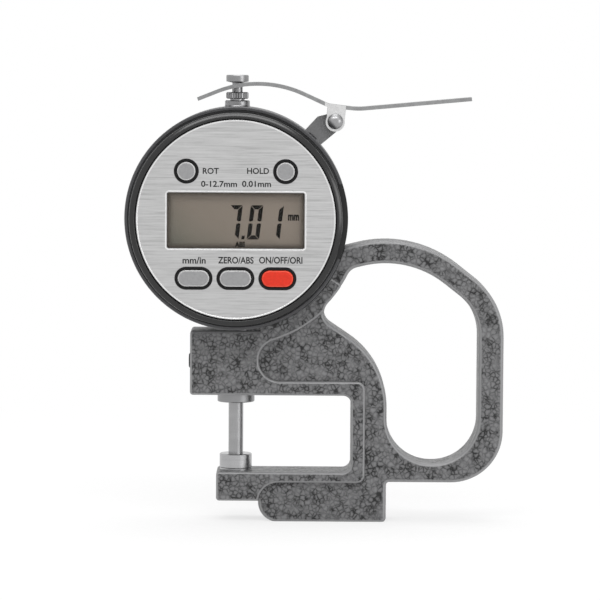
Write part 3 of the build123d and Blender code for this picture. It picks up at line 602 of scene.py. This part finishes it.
class GaugeLooks(bpy.types.PropertyGroup):
    """Sizes and colours of the gauge's finishes."""

    cell_size: FloatProperty(
        name="Hammertone blob",
        description="Width of one blob of the enamel, in millimetres",
        default=1.2,
        min=0.3,
    )
    enamel_colour: FloatVectorProperty(
        name="Enamel",
        description="Light tone of the enamel's blobs",
        subtype="COLOR",
        default=hex_colour("666667")[:3],
    )
    vein_colour: FloatVectorProperty(
        name="Veins",
        description="Dark tone between the blobs",
        subtype="COLOR",
        default=hex_colour("0c0c0d")[:3],
    )
    # Painted highlight: lighter tone given to the enamel on the frame's fillets and edges
    edge_highlight_colour: FloatVectorProperty(
        name="Enamel on edges",
        description="Tone of the enamel on edges",
        subtype="COLOR",
        default=hex_colour("8c8c8d")[:3],
    )
    bezel_colour: FloatVectorProperty(
        name="Bezel",
        description="Black of the bezel",
        subtype="COLOR",
        default=hex_colour("09090a")[:3],
    )
    case_colour: FloatVectorProperty(
        name="Case",
        description="Black of the case",
        subtype="COLOR",
        default=hex_colour("444446")[:3],
    )
    plate_colour: FloatVectorProperty(
        name="Dial plate",
        description="Light tone of the brushed plate",
        subtype="COLOR",
        default=hex_colour("cacaca")[:3],
    )
    brush_pitch: FloatProperty(
        name="Brush pitch",
        description="Distance between brush streaks, in millimetres",
        default=0.4,
        min=0.1,
    )
    key_colour: FloatVectorProperty(
        name="Grey keys",
        description="Colour of the four grey keys",
        subtype="COLOR",
        default=hex_colour("979798")[:3],
    )
    power_colour: FloatVectorProperty(
        name="Red key",
        description="Colour of the power key",
        subtype="COLOR",
        default=hex_colour("dc2f16")[:3],
    )
    film_colour: FloatVectorProperty(
        name="Display film",
        description="Background of the display",
        subtype="COLOR",
        default=hex_colour("8a7f73")[:3],
    )
    figure_width: FloatProperty(
        name="Figure width", description="Width of a figure, in millimetres", default=3.35
    )
    figure_height: FloatProperty(
        name="Figure height", description="Height of a figure, in millimetres", default=9.17
    )
    figure_bar: FloatProperty(
        name="Figure bar", description="Width of a figure's bars, in millimetres", default=1.12
    )
    figure_lean: FloatProperty(
        name="Figure lean", description="Lean of the figures, in degrees", default=7.0
    )
    camera_distance: FloatProperty(
        name="Camera distance",
        description="Camera to the middle plane",
        subtype="DISTANCE",
        unit="LENGTH",
        default=0.95,
    )
    camera_height: FloatProperty(
        name="Camera height",
        description="Camera above the foot",
        subtype="DISTANCE",
        unit="LENGTH",
        default=0.12847,
    )


# One operator for each piece or group of pieces


class GAUGE_OT_casting(bpy.types.Operator):
    """Paint the frame casting"""

    bl_idname = "gauge.casting"
    bl_label = "Frame casting"

    def execute(self, context):
        dress(hammertone_enamel(context.scene.gauge_looks), "frame")
        return {"FINISHED"}


class GAUGE_OT_steel_parts(bpy.types.Operator):
    """Finish the turned and ground steel parts on the spindle axis"""

    bl_idname = "gauge.steel_parts"
    bl_label = "Steel parts"

    def execute(self, context):
        ground = worked_steel("ground_steel", "a0a0a1", 0.34, 2.5, "z", strength=0.002)
        turned = worked_steel("turned_steel", "949495", 0.36, 0.6, "z", strength=0.02)
        lapped = worked_steel("lapped_steel", "b0b0b1", 0.28, 1.0, "z", strength=0.01)
        dress(ground, "spindle", "stem", "guide_rod")
        dress(turned, "stem_bush", "top_bush", "knurled_nut", "lift_knob")
        dress(lapped, "contact_point", "anvil")
        return {"FINISHED"}


class GAUGE_OT_lever(bpy.types.Operator):
    """Finish the lift lever, its bracket and their screws"""

    bl_idname = "gauge.lever"
    bl_label = "Lift lever and bracket"

    def execute(self, context):
        dress(rolled_strip(), "lift_lever")
        dress(worked_steel("turned_screw_steel", "a0a0a1", 0.36, 0.9, "y", strength=0.02), "pivot_screw")
        dress(worked_steel("zinc_plated_steel", "b0b1b3", 0.38, 0.7, "y"), "pivot_nut")
        dress(worked_steel("black_oxide_screw", "4a4a4c", 0.42, 0.4, "y"), "bracket_screws")
        dress(moulded_matt("grey_bracket_enamel", hex_colour("7a7a7b"), 0.42, 0.5), "lever_bracket")
        return {"FINISHED"}


class GAUGE_OT_case(bpy.types.Operator):
    """Finish the black case, bezel, back and battery cover"""

    bl_idname = "gauge.case"
    bl_label = "Case"

    def execute(self, context):
        looks = context.scene.gauge_looks
        black, grey = opaque(looks.bezel_colour), opaque(looks.case_colour)
        dress(moulded_black("satin_black_bezel", black, 0.26, 0.05, shine=0.2), "front_housing")
        shoulder = (
            (-1.5, 0.02),
            (-1.46, -0.18),
            (-1.38, -0.27),
            (-1.28, -0.27),
            (-0.28, 0.18),
            (-0.2, 0.24),
            (-0.07, 0.38),
            (-0.01, 0.7),
            (-0.01, 4.5),
        )
        polished = moulded_black("polished_black_abs", black, 0.18, 0.05, shine=0.5)
        turned_ring("bezel_shoulder", *reach_and_front("front_housing"), shoulder, polished)
        dress(moulded_black("satin_black_abs", grey, 0.38, 0.08, shine=0.5), "rear_housing", "back_cover")
        dress(moulded_black("black_cover_abs", black, 0.3, 0.08, shine=0.4), "battery_cover")
        oxide = worked_steel("black_oxide_steel", "38383a", 0.4, 0.4, "y")
        dress(oxide, "back_cover_screws", "stem_clamp_screw")
        return {"FINISHED"}


class GAUGE_OT_dial(bpy.types.Operator):
    """Finish the dial plate and print its legends"""

    bl_idname = "gauge.dial"
    bl_label = "Dial plate and legends"

    def execute(self, context):
        dress(brushed_aluminium(context.scene.gauge_looks), "face_plate")
        cut = worked_steel("cut_aluminium_edge", "e8e8e8", 0.3, 0.8, "x", strength=0.02)
        window_edge(cut)
        bead = ((-0.62, 0.01), (-0.5, -0.05), (-0.3, -0.06), (-0.12, 0.0), (-0.03, 0.2))
        turned_ring("plate_edge", *reach_and_front("face_plate"), bead, cut)
        ink = moulded_matt("legend_ink", hex_colour("1e1e1f"), 0.6, 0.3, shine=0.2)
        # Name, words, middle from the dial's centre and size
        legends = (
            ("legend_direction", "ROT", (-6.72, 13.03), (4.3, 1.63)),
            ("legend_hold", "HOLD", (5.9, 13.09), (5.87, 1.63)),
            ("legend_range", "0-12.7mm", (-4.5, 9.57), (9.6, 1.65)),
            ("legend_step", "0.01mm", (5.51, 9.62), (7.74, 1.65)),
            ("legend_unit", "mm/in", (-11.08, -10.88), (6.19, 1.8)),
            ("legend_zero", "ZERO/ABS", (0.08, -10.81), (9.51, 1.82)),
            ("legend_power", "ON/OFF/ORI", (12.09, -10.75), (11.6, 1.83)),
        )
        for name, words, middle, size in legends:
            flat_words(name, words, middle, size, plate_front, ink, weight=0.022)
        return {"FINISHED"}


class GAUGE_OT_display(bpy.types.Operator):
    """Finish the window and the display with its reading"""

    bl_idname = "gauge.display"
    bl_label = "Display"

    def execute(self, context):
        looks = context.scene.gauge_looks
        dress(window_acrylic(), "display_window")
        dress(display_film(looks), "lcd_glass")
        ink = moulded_matt("display_black", hex_colour("0f0c0a"), 0.7, 0.3, shine=0.1)
        display_figures(looks, ink)
        flat_words("display_unit", "mm", (15.43, 0.6), (2.98, 1.66), glass_front, ink, weight=0.05)
        flat_words("display_mode", "ABS", (1.14, -6.65), (2.72, 1.48), glass_front, ink, weight=0.05)
        return {"FINISHED"}


class GAUGE_OT_keys(bpy.types.Operator):
    """Finish the five keys"""

    bl_idname = "gauge.keys"
    bl_label = "Keys"

    def execute(self, context):
        looks = context.scene.gauge_looks
        # The second colour of each key is the painted highlight on its rim
        grey = key_silicone("grey_key_silicone", opaque(looks.key_colour), hex_colour("cacaca"))
        red = key_silicone("red_key_silicone", opaque(looks.power_colour), hex_colour("f0523a"))
        dress(grey, "rotate_button", "hold_button", "unit_button", "zero_button")
        dress(red, "power_button")
        return {"FINISHED"}


class GAUGE_OT_inside(bpy.types.Operator):
    """Finish what the case holds"""

    bl_idname = "gauge.inside"
    bl_label = "Inside parts"

    def execute(self, context):
        dress(circuit_lacquer(), "main_board", "sensor_board")
        black = moulded_matt("black_nylon", hex_colour("222224"), 0.5, 0.5)
        dress(black, "key_switches", "board_spacers", "spindle_carriage", "battery_holder")
        dress(moulded_matt("black_strip_rubber", hex_colour("18181a"), 0.7, 0.4), "contact_strips")
        dress(moulded_matt("pale_scale_lacquer", hex_colour("b8bcc2"), 0.3, 0.5), "measuring_scale")
        wire = worked_steel("drawn_spring_wire", "9c9c9e", 0.35, 0.5, "z")
        dress(wire, "return_spring", "battery_contacts")
        closing_spring(wire)
        dress(worked_steel("cell_can_steel", "c4c4c6", 0.3, 0.6, "z"), "battery")
        dress(worked_steel("zinc_board_screw", "a8a9ab", 0.35, 0.4, "y"), "board_screws")
        return {"FINISHED"}


class GAUGE_OT_stage(bpy.types.Operator):
    """Set up the pale floor, the studio light and the camera"""

    bl_idname = "gauge.stage"
    bl_label = "Stage"

    def execute(self, context):
        make_floor()
        make_world(context.scene)
        make_lamp("key_strip", (-0.05, -0.68, 0.86), (1.0, 0.32), 4.4)
        make_lamp("fill_softbox", (0.85, -0.75, 0.15), (0.5, 0.5), 2.2)
        make_lamp("top_softbox", (0.0, 0.15, 0.9), (0.6, 0.6), 2.6)
        make_camera(context.scene)
        context.scene.view_settings.view_transform = "Standard"
        return {"FINISHED"}


def make_floor():
    """Pale paper under the gauge: white where the camera or a reflection sees it, with the gauge's
    shadow kept near it."""
    floor_radius = 3.0
    shadow_reach, white_reach = 0.08, 0.3
    material, tree, shader = new_finish("pale_paper", Roughness=0.9)
    fibres = noise(tree, 2.0, 2.0)
    tone = ramp(tree, fibres, (0.3, hex_colour("f3f3f3")), (0.7, hex_colour("f8f8f8")))
    tree.links.new(tone, shader.inputs["Base Color"])
    distance = add_node(tree, "ShaderNodeVectorMath", {0: object_place(tree)}, operation="LENGTH")
    far = rescale(tree, distance.outputs["Value"], (0.72, 1.0), (shadow_reach, white_reach))
    share = calculate(tree, "MULTIPLY", background_rays(tree), far)
    glow = add_node(tree, "ShaderNodeEmission", {"Color": (1, 1, 1, 1), "Strength": 1.0})
    mix = add_node(tree, "ShaderNodeMixShader", {0: share, 1: shader.outputs[0], 2: glow.outputs[0]})
    tree.links.new(mix.outputs[0], tree.nodes["Material Output"].inputs["Surface"])
    sheet = bmesh.new()
    bmesh.ops.create_circle(sheet, cap_ends=True, segments=96, radius=floor_radius)
    mesh = bpy.data.meshes.new("floor")
    sheet.to_mesh(mesh)
    sheet.free()
    place_object("floor", mesh, material)


def make_world(scene):
    """Soft room light, brighter from above, and a white background that metal and glass also show."""
    world = bpy.data.worlds.new("studio")
    scene.world = world
    world.use_nodes = True
    tree = world.node_tree
    place = add_node(tree, "ShaderNodeTexCoord")
    parts = add_node(tree, "ShaderNodeSeparateXYZ", {"Vector": place.outputs["Generated"]})
    floor_tone, wall_tone, roof_tone = [hex_colour(code) for code in ("707070", "8c8c8c", "f0f0f0")]
    tone = ramp(tree, parts.outputs["Z"], (0.0, floor_tone), (0.12, wall_tone), (0.9, roof_tone))
    room = add_node(tree, "ShaderNodeBackground", {"Color": tone, "Strength": 1.0})
    white = add_node(tree, "ShaderNodeBackground", {"Color": (1, 1, 1, 1), "Strength": 1.0})
    mix = add_node(
        tree,
        "ShaderNodeMixShader",
        {0: background_rays(tree), 1: room.outputs[0], 2: white.outputs[0]},
    )
    tree.links.new(mix.outputs[0], tree.nodes["World Output"].inputs["Surface"])


def make_lamp(name, place, size, power):
    """Softbox that faces the gauge, with its place and size in metres and its power in watts."""
    light = bpy.data.lights.new(name, "AREA")
    light.shape = "RECTANGLE"
    light.size, light.size_y = size
    light.energy = power
    lamp = bpy.data.objects.new(name, light)
    bpy.context.scene.collection.objects.link(lamp)
    lamp.location = place
    gauge_middle = Vector((0, 0, 0.06))
    aim = gauge_middle - Vector(place)
    lamp.rotation_euler = aim.to_track_quat("-Z", "Y").to_euler()


def make_camera(scene):
    """Camera a little above the dial, looking down by four degrees and rolled by a third of a degree."""
    looks = scene.gauge_looks
    side = -6.3 * MM
    drop = 68.5 * MM
    roll = radians(0.35)
    focal_widths = 3496 / 600
    pitch = atan(drop / looks.camera_distance)
    forward = Vector((0, cos(pitch), -sin(pitch)))
    right = Vector((1, 0, 0))
    up = right.cross(forward)
    leaned_right = right * cos(roll) + up * sin(roll)
    leaned_up = up * cos(roll) - right * sin(roll)
    data = bpy.data.cameras.new("camera")
    data.sensor_width = 36
    data.lens = focal_widths * data.sensor_width
    data.clip_start = 0.01
    data.clip_end = 20
    camera = bpy.data.objects.new("camera", data)
    scene.collection.objects.link(camera)
    turn = Matrix((leaned_right, leaned_up, -forward)).transposed().to_4x4()
    place = (side, -looks.camera_distance, looks.camera_height)
    camera.matrix_world = Matrix.Translation(place) @ turn
    scene.camera = camera


steps = (
    GAUGE_OT_casting,
    GAUGE_OT_steel_parts,
    GAUGE_OT_lever,
    GAUGE_OT_case,
    GAUGE_OT_dial,
    GAUGE_OT_display,
    GAUGE_OT_keys,
    GAUGE_OT_inside,
    GAUGE_OT_stage,
)


class GAUGE_PT_looks(bpy.types.Panel):
    """Panel that lists the gauge's pieces"""

    bl_idname = "GAUGE_PT_looks"
    bl_label = "Thickness gauge"
    bl_space_type = "VIEW_3D"
    bl_region_type = "UI"
    bl_category = "Gauge"

    def draw(self, context):
        for name in GaugeLooks.__annotations__:
            self.layout.prop(context.scene.gauge_looks, name)
        for step in steps:
            self.layout.operator(step.bl_idname)


classes = (GaugeLooks, *steps, GAUGE_PT_looks)


def register():
    for item in classes:
        bpy.utils.register_class(item)
    bpy.types.Scene.gauge_looks = PointerProperty(type=GaugeLooks)


def unregister():
    del bpy.types.Scene.gauge_looks
    for item in reversed(classes):
        bpy.utils.unregister_class(item)


def corners(box):
    """Box corners as plain lists of numbers."""
    return [list(corner) for corner in box]


def main():
    register()
    for step in steps:
        group, name = step.bl_idname.split(".")
        getattr(getattr(bpy.ops, group), name)()


if __name__ == "__main__":
    main()
